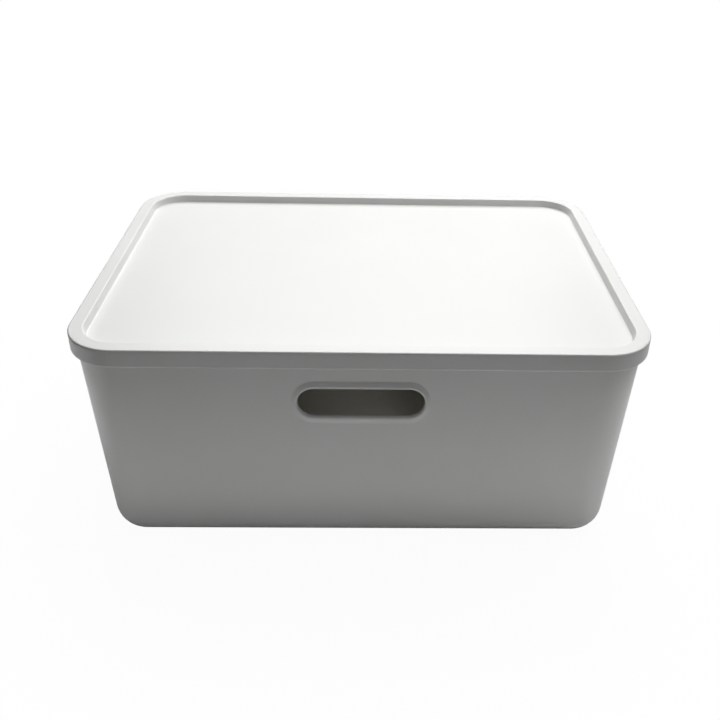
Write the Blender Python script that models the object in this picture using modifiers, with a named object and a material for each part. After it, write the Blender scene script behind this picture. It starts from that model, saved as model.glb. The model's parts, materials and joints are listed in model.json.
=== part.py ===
# Plastic storage box: a drafted tub with two hand holes and a lift-off lid with a sunken panel.
# Metres, +Z up. The origin is on the table, under the middle of the box. The front faces -Y.

import math

import bmesh
import bpy
from mathutils import Matrix

# Closed box
BOX_LENGTH = 0.390          # along X, over the lid's skirt
BOX_WIDTH = 0.284           # along Y, over the lid's skirt
BOX_HEIGHT = 0.1695         # table to the top of the lid's rim
CORNER_RADIUS = 0.0360      # outline of the lid seen from above

# Lid
LID_WALL = 0.0020
SKIRT_HEIGHT = 0.0129       # top of the rim to the bottom of the skirt
RECESS_DEPTH = 0.0056       # how far the panel is sunk below the rim
RECESS_DRAFT = 0.0014       # how far the step leans in over that depth

# Body
BODY_WALL = 0.0020
RIM_LIP = 0.0014            # how far the rim stands out past the wall
WALL_DRAFT = math.radians(2.74)
BASE_FILLET = 0.020         # outer radius where the walls meet the floor

# Fit of the lid on the body
LID_SEAT_GAP = 0.0003       # between the body's rim and the lid resting on it
SKIRT_CLEARANCE = 0.0004    # between the body's rim and the inside of the skirt
STEP_CLEARANCE = 0.0020     # between the body's inner face and the lid's step

# Hand holes, one in each long wall
HAND_HOLE_LENGTH = 0.0854
HAND_HOLE_HEIGHT = 0.0254
HAND_HOLE_DROP = 0.0402     # top of the body's rim to the middle of the hole
COLLAR_WIDTH = 0.0049       # sloping band round the hole
COLLAR_RISE = 0.0016        # how far the band climbs from the wall to the hole
COLLAR_EDGE_ROUND = 0.0013  # width of the rounding at the hole's edge
COLLAR_ROOT = 0.0004        # how deep the band's slope runs on into the wall

# Proportions and facets
EDGE_ROUND_SHARE = 0.45     # rounded edge, as a share of the wall or lip it sits on
FILLET_MOST_SHARE = 0.9     # base fillet at most, as a share of the corner radius there
HOLE_CUT_SHARE = 0.5        # where the wall is cut, as a share of the collar's width
CORNER_STEPS = 12
BASE_FILLET_STEPS = 8
EDGE_STEPS = 3
SHARP_ANGLE = math.radians(40)
MERGE_DISTANCE = 0.00001
CUT_OVERRUN = 0.004

# Sizes that follow from the ones above
skirt_inside = LID_WALL
rim_outside = skirt_inside + SKIRT_CLEARANCE
wall_outside = rim_outside + RIM_LIP
recess_edge = wall_outside + BODY_WALL + STEP_CLEARANCE + LID_WALL
rim_top = BOX_HEIGHT - LID_WALL - LID_SEAT_GAP
rim_underside = rim_top - BODY_WALL
base_outside = wall_outside + rim_underside * math.tan(WALL_DRAFT)
hand_hole_z = rim_top - HAND_HOLE_DROP


def clear_scene():
    for item in list(bpy.data.objects):
        bpy.data.objects.remove(item, do_unlink=True)


def new_collection(name):
    collection = bpy.data.collections.new(name)
    bpy.context.scene.collection.children.link(collection)
    return collection


def plastic(name, colour, roughness):
    material = bpy.data.materials.new(name)
    material.use_nodes = True
    shader = material.node_tree.nodes["Principled BSDF"]
    shader.inputs["Base Color"].default_value = colour
    shader.inputs["Roughness"].default_value = roughness
    shader.inputs["Metallic"].default_value = 0.0
    return material


def rounded_plate(bm, length, width, radius, z):
    # a flat face with four round corners, facing up
    bmesh.ops.create_grid(bm, x_segments=1, y_segments=1, size=0.5)
    bmesh.ops.scale(bm, vec=(length, width, 1.0), verts=bm.verts)
    bmesh.ops.bevel(bm, geom=bm.verts[:], offset=radius, offset_type="OFFSET",
                    segments=CORNER_STEPS, profile=0.5, affect="VERTICES")
    bmesh.ops.remove_doubles(bm, verts=bm.verts, dist=MERGE_DISTANCE)
    bmesh.ops.translate(bm, vec=(0.0, 0.0, z), verts=bm.verts)
    bm.faces.ensure_lookup_table()
    return bm.faces[0]


def step(bm, face, inward, rise):
    # draws the face in and lifts or sinks it, and leaves a wall behind it
    bmesh.ops.inset_individual(bm, faces=[face], thickness=inward, depth=rise,
                               use_even_offset=True)


def round_edges(bm, z, width, steps):
    # rounds the sharp edges that lie at one height
    edges = [edge for edge in bm.edges
             if edge.is_manifold and edge.calc_face_angle() > SHARP_ANGLE
             and all(abs(vert.co.z - z) < MERGE_DISTANCE for vert in edge.verts)]
    bmesh.ops.bevel(bm, geom=edges, offset=width, offset_type="OFFSET",
                    segments=steps, profile=0.5, affect="EDGES")


def add_object(bm, name, collection, material=None):
    mesh = bpy.data.meshes.new(name)
    bm.to_mesh(mesh)
    bm.free()
    mesh.shade_smooth()
    mesh.set_sharp_from_angle(angle=SHARP_ANGLE)
    item = bpy.data.objects.new(name, mesh)
    collection.objects.link(item)
    if material:
        mesh.materials.append(material)
    return item


def give_wall(item, thickness):
    solidify = item.modifiers.new("wall", "SOLIDIFY")
    solidify.thickness = thickness
    solidify.offset = -1.0
    solidify.use_even_offset = True


def soften_edges(item, width):
    bevel = item.modifiers.new("soft edges", "BEVEL")
    bevel.width = width
    bevel.segments = EDGE_STEPS
    bevel.limit_method = "ANGLE"
    bevel.angle_limit = SHARP_ANGLE


def combine(item, other, operation):
    boolean = item.modifiers.new(other.name, "BOOLEAN")
    boolean.operation = operation
    boolean.object = other
    boolean.solver = "EXACT"


def make_lid(collection, material):
    # the upper skin rises up the skirt, crosses the rim and steps down to the panel
    bm = bmesh.new()
    panel = rounded_plate(bm, BOX_LENGTH, BOX_WIDTH, CORNER_RADIUS, BOX_HEIGHT - SKIRT_HEIGHT)
    step(bm, panel, 0.0, SKIRT_HEIGHT)
    step(bm, panel, recess_edge, 0.0)
    step(bm, panel, RECESS_DRAFT, -RECESS_DEPTH)
    lid = add_object(bm, "lid", collection, material)
    give_wall(lid, LID_WALL)
    soften_edges(lid, LID_WALL * EDGE_ROUND_SHARE)
    return lid


def make_tub(collection, material):
    # the outer skin starts under the rim's lip and runs down the drafted wall to the floor
    bm = bmesh.new()
    floor = rounded_plate(bm, BOX_LENGTH - 2 * rim_outside, BOX_WIDTH - 2 * rim_outside,
                          CORNER_RADIUS - rim_outside, rim_underside)
    step(bm, floor, RIM_LIP, 0.0)
    step(bm, floor, base_outside - wall_outside, -rim_underside)
    fillet = min(BASE_FILLET, (CORNER_RADIUS - base_outside) * FILLET_MOST_SHARE)
    round_edges(bm, 0.0, fillet * math.tan((math.pi / 2 - WALL_DRAFT) / 2), BASE_FILLET_STEPS)
    bmesh.ops.reverse_faces(bm, faces=bm.faces)
    tub = add_object(bm, "box_body", collection, material)
    give_wall(tub, BODY_WALL)
    soften_edges(tub, min(BODY_WALL, RIM_LIP) * EDGE_ROUND_SHARE)
    return tub


def hand_hole_places():
    # the middle of the wall's thickness, with local Z along the wall's outward normal
    outside = BOX_WIDTH / 2 - wall_outside - (rim_underside - hand_hole_z) * math.tan(WALL_DRAFT)
    tilt = Matrix.Rotation(math.pi / 2 + WALL_DRAFT, 4, "X")
    sunk = Matrix.Translation((0.0, 0.0, -BODY_WALL / 2))
    front = Matrix.Translation((0.0, -outside, hand_hole_z)) @ tilt @ sunk
    return {"front": front, "rear": Matrix.Rotation(math.pi, 4, "Z") @ front}


def obround(bm, margin, z):
    # the hand hole's outline, grown by a margin
    height = HAND_HOLE_HEIGHT + 2 * margin
    return rounded_plate(bm, HAND_HOLE_LENGTH + 2 * margin, height, height / 2, z)


def make_hole_cutter(name, place, collection):
    bm = bmesh.new()
    reach = BODY_WALL / 2 + CUT_OVERRUN
    face = obround(bm, COLLAR_WIDTH * HOLE_CUT_SHARE, -reach)
    bmesh.ops.solidify(bm, geom=[face], thickness=-2 * reach)
    bmesh.ops.recalc_face_normals(bm, faces=bm.faces)
    cutter = add_object(bm, name, collection)
    cutter.matrix_world = place
    return cutter


def make_collar(name, place, collection):
    # half of the collar, open at the middle of the wall, and its mirror image
    bm = bmesh.new()
    surface = BODY_WALL / 2
    root_margin = COLLAR_WIDTH * (1 + COLLAR_ROOT / COLLAR_RISE)
    face = obround(bm, root_margin, 0.0)
    step(bm, face, 0.0, surface - COLLAR_ROOT)
    step(bm, face, root_margin, COLLAR_ROOT + COLLAR_RISE)
    step(bm, face, 0.0, -(surface + COLLAR_RISE))
    bmesh.ops.delete(bm, geom=[face], context="FACES_ONLY")
    round_edges(bm, surface + COLLAR_RISE, COLLAR_EDGE_ROUND, EDGE_STEPS)
    collar = add_object(bm, name, collection)
    mirror = collar.modifiers.new("other half", "MIRROR")
    mirror.use_axis = (False, False, True)
    mirror.merge_threshold = MERGE_DISTANCE
    collar.matrix_world = place
    return collar


def add_hand_holes(tub, collection):
    for side, place in hand_hole_places().items():
        combine(tub, make_hole_cutter(side + "_hole_cutter", place, collection), "DIFFERENCE")
        combine(tub, make_collar(side + "_collar", place, collection), "UNION")


def hide_helpers(collection):
    for helper in collection.objects:
        helper.hide_render = True
        helper.display_type = "WIRE"


clear_scene()
parts = new_collection("plastic_storage_box")
helpers = new_collection("cutters")
body_plastic = plastic("body_plastic", (0.80, 0.80, 0.78, 1.0), 0.45)
lid_plastic = plastic("lid_plastic", (0.84, 0.84, 0.82, 1.0), 0.45)
box_body = make_tub(parts, body_plastic)
add_hand_holes(box_body, helpers)
make_lid(parts, lid_plastic)
hide_helpers(helpers)
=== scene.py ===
import json
import math

import bmesh
import bpy
from mathutils import Matrix, Vector

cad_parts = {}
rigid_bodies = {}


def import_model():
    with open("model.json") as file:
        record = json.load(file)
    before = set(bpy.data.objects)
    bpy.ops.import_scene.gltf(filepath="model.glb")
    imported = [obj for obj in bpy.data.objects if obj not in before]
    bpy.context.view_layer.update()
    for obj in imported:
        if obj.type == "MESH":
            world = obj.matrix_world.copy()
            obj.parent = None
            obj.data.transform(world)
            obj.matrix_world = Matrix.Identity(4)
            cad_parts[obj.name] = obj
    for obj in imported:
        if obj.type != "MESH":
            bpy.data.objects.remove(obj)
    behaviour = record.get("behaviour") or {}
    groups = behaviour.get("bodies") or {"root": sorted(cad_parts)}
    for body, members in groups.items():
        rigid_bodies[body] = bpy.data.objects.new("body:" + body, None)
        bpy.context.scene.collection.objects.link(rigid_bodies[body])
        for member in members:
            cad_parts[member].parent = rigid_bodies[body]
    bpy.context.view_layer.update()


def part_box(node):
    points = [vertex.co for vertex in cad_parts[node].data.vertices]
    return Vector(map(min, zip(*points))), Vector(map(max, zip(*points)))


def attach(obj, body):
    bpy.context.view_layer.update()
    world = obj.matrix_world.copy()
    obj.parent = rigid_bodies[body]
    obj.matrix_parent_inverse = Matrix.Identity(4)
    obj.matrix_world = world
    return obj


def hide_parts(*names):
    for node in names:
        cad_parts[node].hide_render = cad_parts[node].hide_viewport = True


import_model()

# White plastic storage box with a lift-off lid. Metres, Z up, the front faces -Y.

scene = bpy.context.scene
bodyLow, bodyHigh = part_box("box_body")
lidLow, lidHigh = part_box("lid")

# sizes read from the frame
boxLength = lidHigh.x - lidLow.x
boxWidth = lidHigh.y - lidLow.y
boxTop = lidHigh.z
skirtBottom = lidLow.z
rimTop = bodyHigh.z

# the outline that both mouldings follow, seen from above
box = {
    "cornerRadius": 0.0360,
    "cornerSteps": 28,
}
arcSteps = 5                    # in each small rounding
guard = 0.0007                  # straight stretch kept beside each small rounding


def roundedSection(corners):
    # corners are (outward, up, radius, steps), and each round one becomes an arc
    points = []
    for i, (x, y, radius, steps) in enumerate(corners):
        here = Vector((x, y))
        if radius == 0 or i in (0, len(corners) - 1):
            points.append(here)
            continue
        toLast = Vector(corners[i - 1][:2]) - here
        toNext = Vector(corners[i + 1][:2]) - here
        before, after = toLast.normalized(), toNext.normalized()
        half = before.angle(after) / 2
        reach = radius / math.tan(half)
        centre = here + (before + after).normalized() * radius / math.sin(half)
        start, end = here + before * reach, here + after * reach
        sweep = (start - centre).angle_signed(end - centre)
        if toLast.length - reach > 2 * guard:
            points.append(start + before * guard)
        for k in range(steps + 1):
            turn = Matrix.Rotation(-sweep * k / steps, 2)
            points.append(centre + turn @ (start - centre))
        if toNext.length - reach > 2 * guard:
            points.append(end + after * guard)
    return points


def makeSweepTree():
    # sweeps a section round a rectangle with round corners
    tree = bpy.data.node_groups.new("sweepRoundRectangle", "GeometryNodeTree")
    ids = {}
    for name, kind in (("Section", "NodeSocketGeometry"), ("Length", "NodeSocketFloat"),
                       ("Width", "NodeSocketFloat"), ("Corner Radius", "NodeSocketFloat"),
                       ("Corner Steps", "NodeSocketInt"), ("Material", "NodeSocketMaterial")):
        ids[name] = tree.interface.new_socket(name, in_out="INPUT", socket_type=kind).identifier
    tree.interface.new_socket("Moulding", in_out="OUTPUT", socket_type="NodeSocketGeometry")
    nodes, link = tree.nodes, tree.links.new
    given = nodes.new("NodeGroupInput")
    outline = nodes.new("GeometryNodeCurvePrimitiveQuadrilateral")
    corners = nodes.new("GeometryNodeFilletCurve")
    corners.mode = "POLY"
    upright = nodes.new("GeometryNodeSetCurveNormal")
    upright.mode = "Z_UP"
    section = nodes.new("GeometryNodeMeshToCurve")
    sweep = nodes.new("GeometryNodeCurveToMesh")
    real = nodes.new("GeometryNodeRealizeInstances")
    finish = nodes.new("GeometryNodeSetMaterial")
    result = nodes.new("NodeGroupOutput")
    link(given.outputs["Length"], outline.inputs["Width"])
    link(given.outputs["Width"], outline.inputs["Height"])
    link(outline.outputs["Curve"], corners.inputs["Curve"])
    link(given.outputs["Corner Radius"], corners.inputs["Radius"])
    link(given.outputs["Corner Steps"], corners.inputs["Count"])
    link(corners.outputs["Curve"], upright.inputs["Curve"])
    link(upright.outputs["Curve"], sweep.inputs["Curve"])
    link(given.outputs["Section"], section.inputs["Mesh"])
    link(section.outputs["Curve"], sweep.inputs["Profile Curve"])
    link(sweep.outputs["Mesh"], real.inputs["Geometry"])
    link(real.outputs["Geometry"], finish.inputs["Geometry"])
    link(given.outputs["Material"], finish.inputs["Material"])
    link(finish.outputs["Geometry"], result.inputs["Moulding"])
    return tree, ids


sweepTree, sweepIds = makeSweepTree()


def sweptMesh(name, section, length, width, radius, steps, material):
    # the section's first value points outward from the outline, its second up
    line = bpy.data.meshes.new(name + "Section")
    places = [(point.x, -point.y, 0) for point in section]
    line.from_pydata(places, [(i, i + 1) for i in range(len(places) - 1)], [])
    carrier = bpy.data.objects.new(name + "Section", line)
    scene.collection.objects.link(carrier)
    sweep = carrier.modifiers.new("sweep", "NODES")
    sweep.node_group = sweepTree
    for socket, value in (("Length", length), ("Width", width), ("Corner Radius", radius),
                          ("Corner Steps", steps), ("Material", material)):
        sweep[sweepIds[socket]] = value
    depsgraph = bpy.context.evaluated_depsgraph_get()
    mesh = bpy.data.meshes.new_from_object(carrier.evaluated_get(depsgraph))
    bpy.data.objects.remove(carrier)
    bpy.data.meshes.remove(line)
    return mesh


def sweptRoundBox(name, section, material):
    # the section swept round the whole box, and its two open edges in the middle filled flat
    mesh = sweptMesh(name, section, boxLength, boxWidth, box["cornerRadius"], box["cornerSteps"], material)
    bm = bmesh.new()
    bm.from_mesh(mesh)
    openEdges = [edge for edge in bm.edges if edge.is_boundary]
    bmesh.ops.holes_fill(bm, edges=openEdges, sides=0)
    bmesh.ops.recalc_face_normals(bm, faces=bm.faces)
    return bm


# values that the mesh carries on its points for the plastic to read
flatBend = math.radians(9)      # an edge bent no more than this counts as flat
wornBend = math.radians(18)     # and one bent this much as fully worn


def markEdges(bm):
    # a worn value of 1 on small convex roundings and 0 on flats
    worn = bm.verts.layers.float.new("worn")
    for vert in bm.verts:
        bend = max([edge.calc_face_angle_signed(0.0) for edge in vert.link_edges], default=0.0)
        vert[worn] = min(1.0, max(0.0, (bend - flatBend) / (wornBend - flatBend)))


def markInside(bm, middle):
    # an inside value of 1 on the faces turned to the middle of the box, where the plastic gets its painted
    # warm light
    inside = bm.verts.layers.float.new("inside")
    bm.normal_update()
    for vert in bm.verts:
        vert[inside] = float(vert.normal.dot(middle - vert.co) > 0)


def finishPiece(name, bm, material):
    markEdges(bm)
    mesh = bpy.data.meshes.new(name)
    bm.to_mesh(mesh)
    bm.free()
    mesh.materials.clear()
    mesh.materials.append(material)
    mesh.shade_smooth()
    piece = bpy.data.objects.new(name, mesh)
    scene.collection.objects.link(piece)
    weighted = piece.modifiers.new("flat faces lead", "WEIGHTED_NORMAL")
    weighted.mode = "FACE_AREA"
    weighted.weight = 100
    return piece


# helpers for node materials
white = (1, 1, 1, 1)


def makeMaterial(name):
    material = bpy.data.materials.new(name)
    material.use_nodes = True
    return material, material.node_tree.nodes, material.node_tree.links.new


def addNoise(nodes, link, place, size, detail):
    noise = nodes.new("ShaderNodeTexNoise")
    noise.inputs["Scale"].default_value = 1 / size
    noise.inputs["Detail"].default_value = detail
    link(place, noise.inputs["Vector"])
    return noise.outputs["Fac"]


def addRange(nodes, link, value, start, end, near=0, far=1, kind="LINEAR"):
    # goes from start to end while the value goes from near to far
    span = nodes.new("ShaderNodeMapRange")
    span.interpolation_type = kind
    for socket, number in (("From Min", near), ("From Max", far), ("To Min", start), ("To Max", end)):
        span.inputs[socket].default_value = number
    link(value, span.inputs["Value"])
    return span.outputs["Result"]


def mixColours(nodes, link, share, first, second, kind="MIX"):
    # either colour is a fixed one or comes out of another node
    blend = nodes.new("ShaderNodeMix")
    blend.data_type = "RGBA"
    blend.blend_type = kind
    link(share, blend.inputs["Factor"])
    for socket, colour in (("A", first), ("B", second)):
        if isinstance(colour, tuple):
            blend.inputs[socket].default_value = colour
        else:
            link(colour, blend.inputs[socket])
    return blend.outputs["Result"]


def readMark(nodes, name):
    mark = nodes.new("ShaderNodeAttribute")
    mark.attribute_name = name
    return mark.outputs["Fac"]


# plastic
plasticLook = {
    "colour": (0.82, 0.82, 0.81, 1.0),
    "warmer": (0.80, 0.80, 0.785, 1.0),
    "paintedInsideWarmLight": (1.0, 0.975, 0.875, 1.0),     # painted light: the inside faces are tinted warmer, standing in for warm light that comes through the plastic
    "cloudSize": 0.09,          # slow changes of tone and gloss across the moulding
    "cloudDetail": 3,
    "cloudFrom": 0.35,
    "cloudTo": 0.75,
    "roughness": 0.40,
    "roughnessSwing": 0.03,
    "edgePolish": 0.04,         # taken off the roughness on worn roundings
    "grainSize": 0.00045,
    "grainDetail": 2,
    "grainDepth": 0.000012,
}


def makePlastic(name, look):
    material, nodes, link = makeMaterial(name)
    shader = nodes["Principled BSDF"]
    place = nodes.new("ShaderNodeTexCoord").outputs["Object"]
    cloud = addNoise(nodes, link, place, look["cloudSize"], look["cloudDetail"])
    grain = addNoise(nodes, link, place, look["grainSize"], look["grainDetail"])

    drift = addRange(nodes, link, cloud, 0, 1, look["cloudFrom"], look["cloudTo"])
    outside = mixColours(nodes, link, drift, look["colour"], look["warmer"])
    # painted light: faces inside the box get a warm tint, for light shining through the plastic
    warmLightPainted = mixColours(nodes, link, readMark(nodes, "inside"), outside, look["paintedInsideWarmLight"], "MULTIPLY")
    link(warmLightPainted, shader.inputs["Base Color"])

    dull, shiny = look["roughness"] + look["roughnessSwing"], look["roughness"] - look["roughnessSwing"]
    polish = nodes.new("ShaderNodeMath")
    polish.operation = "MULTIPLY_ADD"
    link(readMark(nodes, "worn"), polish.inputs[0])
    polish.inputs[1].default_value = -look["edgePolish"]
    link(addRange(nodes, link, cloud, dull, shiny), polish.inputs[2])
    link(polish.outputs["Value"], shader.inputs["Roughness"])

    bump = nodes.new("ShaderNodeBump")
    bump.inputs["Strength"].default_value = 1.0
    bump.inputs["Distance"].default_value = look["grainDepth"]
    link(grain, bump.inputs["Height"])
    link(bump.outputs["Normal"], shader.inputs["Normal"])
    return material


bodyPlastic = makePlastic("bodyPlastic", plasticLook)
lidPlastic = makePlastic("lidPlastic", plasticLook)
print("plastic made")

# lid
lid = {
    "wall": 0.0020,
    "recessEdge": 0.0098,       # outer face to the step of the sunken panel
    "recessDepth": 0.0056,
    "recessDraft": 0.0014,
    "rimRound": 0.0012,
    "skirtRound": 0.00095,
    "stepRound": 0.0010,
    "rootRound": 0.0009,
    "underRound": 0.0007,
}


def makeLid():
    wall, under = lid["wall"], lid["underRound"]
    edge = lid["recessEdge"]
    foot = edge + lid["recessDraft"]
    panel = boxTop - lid["recessDepth"]
    middle = -(foot + lid["rootRound"] + 4 * guard)
    section = roundedSection([
        (middle, panel, 0, 0),
        (-foot, panel, lid["rootRound"], arcSteps),
        (-edge, boxTop, lid["stepRound"], arcSteps),
        (0, boxTop, lid["rimRound"], arcSteps),
        (0, skirtBottom, lid["skirtRound"], arcSteps),
        (-wall, skirtBottom, lid["skirtRound"], arcSteps),
        (-wall, boxTop - wall, under, arcSteps),
        (-(edge - wall), boxTop - wall, under, arcSteps),
        (-(foot - wall), panel - wall, lid["rootRound"], arcSteps),
        (middle, panel - wall, 0, 0),
    ])
    return finishPiece("lidMoulding", sweptRoundBox("lid", section, lidPlastic), lidPlastic)


lidPiece = makeLid()
print("lid made:", len(lidPiece.data.polygons), "faces")

# body
tub = {
    "wall": 0.0020,
    "rimLip": 0.0014,
    "draft": math.radians(2.74),
    "baseFillet": 0.020,
    "filletSteps": 14,
    "rimRound": 0.0006,
}
rimOutside = (boxLength - (bodyHigh.x - bodyLow.x)) / 2
wallOutside = rimOutside + tub["rimLip"]
rimUnder = rimTop - tub["wall"]
slope = math.tan(tub["draft"])
baseOutside = wallOutside + rimUnder * slope


def makeTub():
    wall, lip, fillet = tub["wall"], tub["rimRound"], tub["baseFillet"]
    along = wall / math.cos(tub["draft"])       # the wall measured level
    innerTop = wallOutside + along
    innerBase = baseOutside + along - wall * slope
    middle = -(baseOutside + fillet + 2 * guard)
    section = roundedSection([
        (middle, wall, 0, 0),
        (-innerBase, wall, fillet - wall, tub["filletSteps"]),
        (-innerTop, rimTop, lip, arcSteps),
        (-rimOutside, rimTop, lip, arcSteps),
        (-rimOutside, rimUnder, lip, arcSteps),
        (-wallOutside, rimUnder, lip, arcSteps),
        (-baseOutside, 0, fillet, tub["filletSteps"]),
        (middle, 0, 0, 0),
    ])
    return sweptRoundBox("tub", section, bodyPlastic)


# hand holes
hole = {
    "length": 0.0851,
    "height": 0.0219,
    "drop": 0.0399,             # rim top to the middle of the hole
    "collarWidth": 0.0065,      # above and below the hole
    "endShare": 0.64,           # of that width at the two ends
    "collarRise": 0.0018,
    "edgeRound": 0.0021,
    "edgeSteps": 8,
    "innerRound": 0.0007,
    "footRound": 0.0040,
    "endSteps": 20,
}
weldGap = 1e-6                  # points closer than this are joined
sameWay = 0.999                 # least cosine between two directions that count as one


def narrowEnds(mesh):
    # draws the collar in towards the hole round its two half-round ends
    radius = hole["height"] / 2
    straight = hole["length"] / 2 - radius
    for vert in mesh.vertices:
        over = abs(vert.co.x) - straight
        if over > 0:
            reach = math.hypot(over, vert.co.y)
            spare = max(0.0, reach - radius) * (1 - hole["endShare"])
            vert.co.x = math.copysign(straight + over * (1 - spare / reach), vert.co.x)


def addCollar(bm, place):
    # sweeps the collar round the hole, from the wall's outer face through to its inner face
    width, rise, wall = hole["collarWidth"], hole["collarRise"], tub["wall"]
    border = width + hole["footRound"]
    section = roundedSection([
        (border, 0, 0, 0),
        (width, 0, hole["footRound"], arcSteps),
        (0, rise, hole["edgeRound"], hole["edgeSteps"]),
        (0, -wall, hole["innerRound"], arcSteps),
        (border, -wall, 0, 0),
    ])
    mesh = sweptMesh("collar", section, hole["length"], hole["height"], hole["height"] / 2,
                     hole["endSteps"], bodyPlastic)
    narrowEnds(mesh)
    mesh.transform(place)
    first = len(bm.verts)
    bm.from_mesh(mesh)
    bm.verts.ensure_lookup_table()
    bmesh.ops.remove_doubles(bm, verts=bm.verts[first:], dist=weldGap)


def cutHole(bm, turn):
    # swaps the wall's flat outer and inner faces for ones with a hole, joined to the collar
    wall = tub["wall"]
    z = rimTop - hole["drop"]
    outside = boxWidth / 2 - wallOutside - (rimUnder - z) * slope
    lean = Matrix.Rotation(math.pi / 2 + tub["draft"], 4, "X")
    place = turn @ Matrix.Translation((0, -outside, z)) @ lean
    normal = place.to_3x3() @ Vector((0, 0, 1))

    def liesOn(point, target):
        return abs((point - target).dot(normal)) < wall / 4

    rims = []
    for depth in (0, wall):
        target = place.translation - normal * depth
        flats = [face for face in bm.faces if abs(face.normal.dot(normal)) > sameWay
                 and liesOn(face.calc_center_median(), target)]
        wallFace = max(flats, key=lambda face: face.calc_area())
        rims.append((wallFace.edges[:], target))
        bmesh.ops.delete(bm, geom=[wallFace], context="FACES_ONLY")
    addCollar(bm, place)
    for edges, target in rims:
        loop = [edge for edge in bm.edges if edge.is_boundary and edge not in edges
                and all(liesOn(vert.co, target) for vert in edge.verts)]
        bmesh.ops.triangle_fill(bm, use_beauty=True, use_dissolve=False, edges=edges + loop)
    bmesh.ops.recalc_face_normals(bm, faces=bm.faces)


def makeBody():
    shell = makeTub()
    for turn in (Matrix.Identity(4), Matrix.Rotation(math.pi, 4, "Z")):
        cutHole(shell, turn)
    print("open edges in the body:", sum(edge.is_boundary for edge in shell.edges))
    markInside(shell, Vector((0, 0, rimTop / 2)))
    return finishPiece("bodyMoulding", shell, bodyPlastic)


bodyPiece = makeBody()
print("body made:", len(bodyPiece.data.polygons), "faces")

# the finished pieces stand for the solids
for piece, node, slotName, body in ((lidPiece, "lid", "lid_plastic", "lid"),
                                    (bodyPiece, "box_body", "body_plastic", "box")):
    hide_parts(node)
    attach(piece, body)

# floor and background
stage = {
    "farEdge": 20.0,
    "tableColour": (0.80, 0.80, 0.80, 1.0),     # as it lights the box, near the box
    "paintedFarShade": (0.0, 0.0, 0.0, 1.0),          # painted shade: black far from the box, for the floor that no lamp lights there
    "bounceNear": 0.20,
    "bounceFar": 0.60,
    "shadowShare": 0.04,        # how much of the cast shadow the camera sees next to the box
    "shadowNear": 0.18,
    "shadowFar": 0.45,
}


def makeTableMaterial():
    # white to the camera but for a little of the box's shadow, and to other rays a table whose colour
    # fades to black away from the box as painted shade
    material, nodes, link = makeMaterial("whiteTable")
    nodes.remove(nodes["Principled BSDF"])
    toCamera = nodes.new("ShaderNodeLightPath").outputs["Is Camera Ray"]
    place = nodes.new("ShaderNodeNewGeometry")
    away = nodes.new("ShaderNodeVectorMath")
    away.operation = "LENGTH"
    link(place.outputs["Position"], away.inputs[0])
    distance = away.outputs["Value"]
    # painted shade: the table's colour darkens with distance from the box, for the unlit floor further out
    bounce = addRange(nodes, link, distance, 0, 1, stage["bounceNear"], stage["bounceFar"], "SMOOTHSTEP")
    table = mixColours(nodes, link, bounce, stage["tableColour"], stage["paintedFarShade"])
    lit = nodes.new("ShaderNodeBsdfDiffuse")
    link(mixColours(nodes, link, toCamera, table, white), lit.inputs["Color"])
    glow = nodes.new("ShaderNodeEmission")
    plain = addRange(nodes, link, distance, 1 - stage["shadowShare"], 1,
                     stage["shadowNear"], stage["shadowFar"], "SMOOTHSTEP")
    share = nodes.new("ShaderNodeMath")
    share.operation = "MULTIPLY"
    link(toCamera, share.inputs[0])
    link(plain, share.inputs[1])
    mix = nodes.new("ShaderNodeMixShader")
    link(share.outputs["Value"], mix.inputs["Fac"])
    link(lit.outputs["BSDF"], mix.inputs[1])
    link(glow.outputs["Emission"], mix.inputs[2])
    link(mix.outputs["Shader"], nodes["Material Output"].inputs["Surface"])
    return material


def makeFloor():
    far = stage["farEdge"]
    corners = [(-far, -far, 0), (far, -far, 0), (far, far, 0), (-far, far, 0)]
    mesh = bpy.data.meshes.new("floor")
    mesh.from_pydata(corners, [], [(0, 1, 2, 3)])
    mesh.materials.append(makeTableMaterial())
    floor = bpy.data.objects.new("floor", mesh)
    scene.collection.objects.link(floor)


makeFloor()
print("floor made")

# light: square softboxes aimed at the box, given by azimuth from the rear to the right and elevation
lamps = {
    "rear": {"azimuth": 0, "elevation": 50, "size": 1.1, "distance": 1.6, "power": 20.4},
    "rearRight": {"azimuth": 50, "elevation": 60, "size": 0.7, "distance": 1.4, "power": 3.7},
    "right": {"azimuth": 90, "elevation": 55, "size": 0.7, "distance": 1.4, "power": 5.8},
    "left": {"azimuth": -90, "elevation": 20, "size": 0.7, "distance": 1.4, "power": 0.6},
    "front": {"azimuth": 180, "elevation": 60, "size": 1.1, "distance": 1.6, "power": 1.4},
}
# and glowing cards that lie on the table round the box, facing up
cards = {
    "front": {"length": 0.72, "width": 0.25, "place": (0.09, -0.291), "power": 0.235},
    "right": {"length": 0.24, "width": 0.50, "place": (0.40, 0), "power": 0.18},
    "left": {"length": 0.24, "width": 0.50, "place": (-0.40, 0), "power": 0.30},
}
cardHeight = 0.003
roomLight = {"glossy": 0.30, "other": 0.0}      # the background's strength to these rays


def addLamp(name, shape, size, power, place, turn):
    data = bpy.data.lights.new(name, "AREA")
    data.shape = shape
    data.size, data.size_y = size
    data.energy = power
    lamp = bpy.data.objects.new(name, data)
    lamp.location = place
    lamp.rotation_euler = turn
    lamp.visible_camera = False
    scene.collection.objects.link(lamp)


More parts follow.
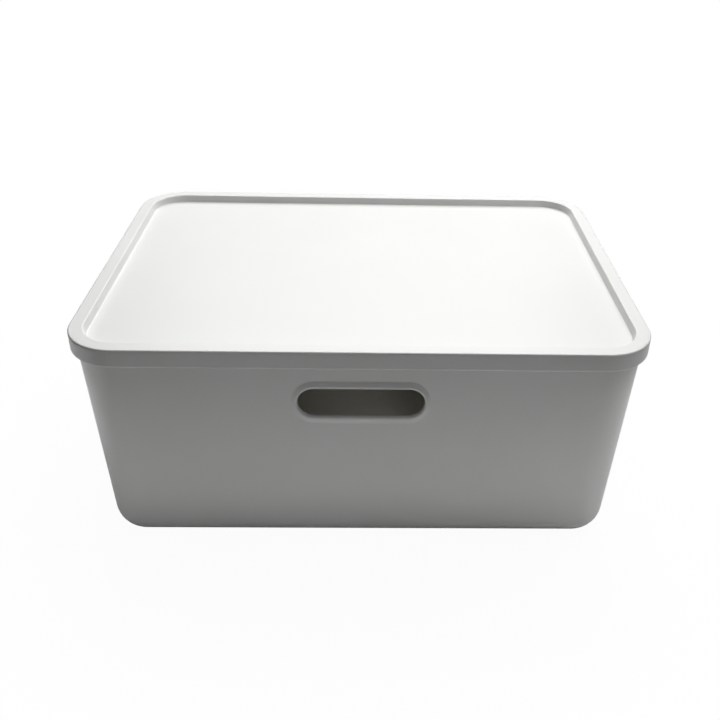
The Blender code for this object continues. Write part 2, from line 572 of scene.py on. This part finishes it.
def makeLamps():
    aim = Vector((0, 0, boxTop / 2))
    for name, look in lamps.items():
        turn, rise = math.radians(look["azimuth"]), math.radians(look["elevation"])
        away = Vector((math.sin(turn) * math.cos(rise), math.cos(turn) * math.cos(rise), math.sin(rise)))
        addLamp(name + "Softbox", "SQUARE", (look["size"], look["size"]), look["power"],
                aim + away * look["distance"], away.to_track_quat("Z", "Y").to_euler())
    for name, look in cards.items():
        addLamp(name + "Card", "RECTANGLE", (look["length"], look["width"]), look["power"],
                (*look["place"], cardHeight), (math.pi, 0, 0))


def makeWorld():
    # white behind the box, paler in its gloss, and dark for every other ray
    world = bpy.data.worlds.new("studio")
    scene.world = world
    world.use_nodes = True
    nodes, link = world.node_tree.nodes, world.node_tree.links.new
    background = nodes["Background"]
    background.inputs["Color"].default_value = white
    rays = nodes.new("ShaderNodeLightPath")
    glossy = addRange(nodes, link, rays.outputs["Is Glossy Ray"], roomLight["other"], roomLight["glossy"])
    level = nodes.new("ShaderNodeMath")
    level.operation = "MAXIMUM"
    link(glossy, level.inputs[0])
    link(rays.outputs["Is Camera Ray"], level.inputs[1])
    link(level.outputs["Value"], background.inputs["Strength"])


makeLamps()
makeWorld()
print("lamps made:", len(lamps), "softboxes and", len(cards), "cards")

# camera, fitted to the outline in the photograph
view = {
    "azimuth": math.radians(-1.858),
    "elevation": math.radians(31.44),
    "roll": math.radians(1.502),
    "distance": 0.7142,
    "lens": 42.77,
    "shift": -0.03865,
    "aim": (0.0214, 0.0, 0.0776),
    "nearest": 0.01,
}


def makeCamera():
    azimuth, elevation, roll = view["azimuth"], view["elevation"], view["roll"]
    back = Vector((math.sin(azimuth) * math.cos(elevation),
                   -math.cos(azimuth) * math.cos(elevation), math.sin(elevation)))
    right = Vector((math.cos(azimuth), math.sin(azimuth), 0))
    up = back.cross(right)
    tilted = right * math.cos(roll) + up * math.sin(roll)
    upright = up * math.cos(roll) - right * math.sin(roll)
    data = bpy.data.cameras.new("camera")
    data.lens = view["lens"]
    data.shift_x = view["shift"]
    data.clip_start = view["nearest"]
    camera = bpy.data.objects.new("camera", data)
    turn = Matrix((tilted, upright, back)).transposed().to_4x4()
    camera.matrix_world = Matrix.Translation(Vector(view["aim"]) + back * view["distance"]) @ turn
    scene.collection.objects.link(camera)
    scene.camera = camera


makeCamera()
print("camera placed")
scene.view_settings.view_transform = "Standard"
